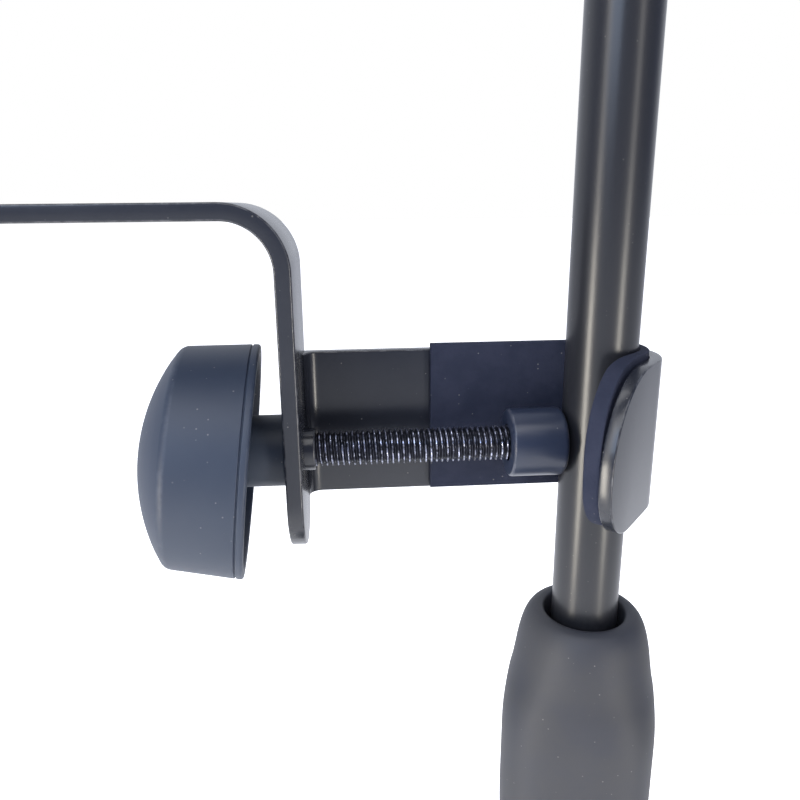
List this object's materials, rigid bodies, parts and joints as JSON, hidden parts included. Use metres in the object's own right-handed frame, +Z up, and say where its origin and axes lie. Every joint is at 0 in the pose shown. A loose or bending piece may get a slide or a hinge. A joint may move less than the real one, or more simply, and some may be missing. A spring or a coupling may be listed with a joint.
{
  "type": "music stand",
  "caption": "Free-standing sheet music stand with a telescopic tube, twist clutch, tilting desk, and a hook clamp with a thumb screw that holds an accessory arm on the tube.",
  "frame": {"origin": "on the floor, on the tube's axis, at the middle of the round base", "axes": "+Z up along the tube; the clamp's screw and arm lie along X with the knob at -X; the reader stands at -Y, facing the desk"},
  "size_m": [0.48, 0.28, 1.3594],
  "materials": {
    "cast_iron_paint": "satin black enamel on cast iron",
    "foot_rubber": "matt",
    "zinc_steel": "zinc plated",
    "tube_black": "satin black powder coat",
    "bush_plastic": "natural nylon",
    "clutch_cast": "satin black",
    "grip_soft": "soft matt dark grey",
    "bracket_black": "satin black coat",
    "lining_rubber": "dense matt blue black foam rubber",
    "thread_steel": "black oxide, bright crests",
    "knob_plastic": "slate grey, fine grain",
    "cap_plastic": "smooth black",
    "insert_brass": "turned",
    "desk_black": "fine textured black powder coat",
    "tilt_plastic": "moulded black"
  },
  "bodies": {
    "base": {"base_plate": "cast_iron_paint", "base_feet": "foot_rubber", "base_nut": "zinc_steel", "base_washer": "zinc_steel", "tube_stud": "zinc_steel", "lower_tube": "tube_black", "clutch_body": "clutch_cast"},
    "clutch_twist": {"clutch_core": "clutch_cast", "clutch_grip": "grip_soft"},
    "collet": {"clutch_collet": "bush_plastic"},
    "mast": {"upper_tube": "tube_black", "guide_bush": "bush_plastic", "bush_pin": "zinc_steel", "tilt_head": "clutch_cast", "head_pin": "zinc_steel"},
    "clamp": {"clamp_bar": "bracket_black", "clamp_hook": "bracket_black", "hook_lining": "lining_rubber", "screw_bush": "thread_steel"},
    "cap": {"pressure_cap": "cap_plastic"},
    "screw": {"screw_rod": "thread_steel", "screw_knob": "knob_plastic", "knob_insert": "insert_brass", "cap_ring": "zinc_steel"},
    "desk": {"desk_plate": "desk_black", "desk_shelf": "desk_black", "desk_bracket": "desk_black", "desk_rivets": "zinc_steel", "shelf_rivets": "zinc_steel", "tilt_discs": "bush_plastic", "tilt_bolt": "zinc_steel", "tilt_washer": "zinc_steel"},
    "tilt_knob": {"tilt_knob": "tilt_plastic", "tilt_knob_insert": "insert_brass"}
  },
  "joints": [
    {"name": "clutch_turn", "type": "hinge", "parent": "base", "child": "clutch_twist", "pos_m": [0, 0, 0.65], "axis": [0, 0, 1], "range_deg": [0, 120]},
    {"name": "mast_swivel", "type": "hinge", "parent": "base", "child": "collet", "pos_m": [0, 0, 0.66], "axis": [0, 0, 1], "continuous": true},
    {"name": "mast_height", "type": "slide", "parent": "collet", "child": "mast", "axis": [0, 0, 1], "range_m": [-0.02, 0.19]},
    {"name": "clamp_swivel", "type": "hinge", "parent": "mast", "child": "clamp", "pos_m": [0, 0, 0.735], "axis": [0, 0, 1], "continuous": true},
    {"name": "cap_travel", "type": "slide", "parent": "clamp", "child": "cap", "axis": [1, 0, 0], "range_m": [-0.0426, 0]},
    {"name": "screw_turn", "type": "hinge", "parent": "cap", "child": "screw", "pos_m": [-0.08, 0, 0.735], "axis": [1, 0, 0], "range_deg": [-12240, 0]},
    {"name": "desk_tilt", "type": "hinge", "parent": "mast", "child": "desk", "pos_m": [0, 0, 1.14], "axis": [-1, 0, 0], "range_deg": [-20, 70]},
    {"name": "tilt_knob_turn", "type": "hinge", "parent": "desk", "child": "tilt_knob", "pos_m": [0.018, 0, 1.14], "axis": [1, 0, 0], "range_deg": [-180, 0]}
  ],
  "couplings": [
    {"joint": "cap_travel", "follows": "screw_turn", "m_per_rad": 0.00019894}
  ]
}
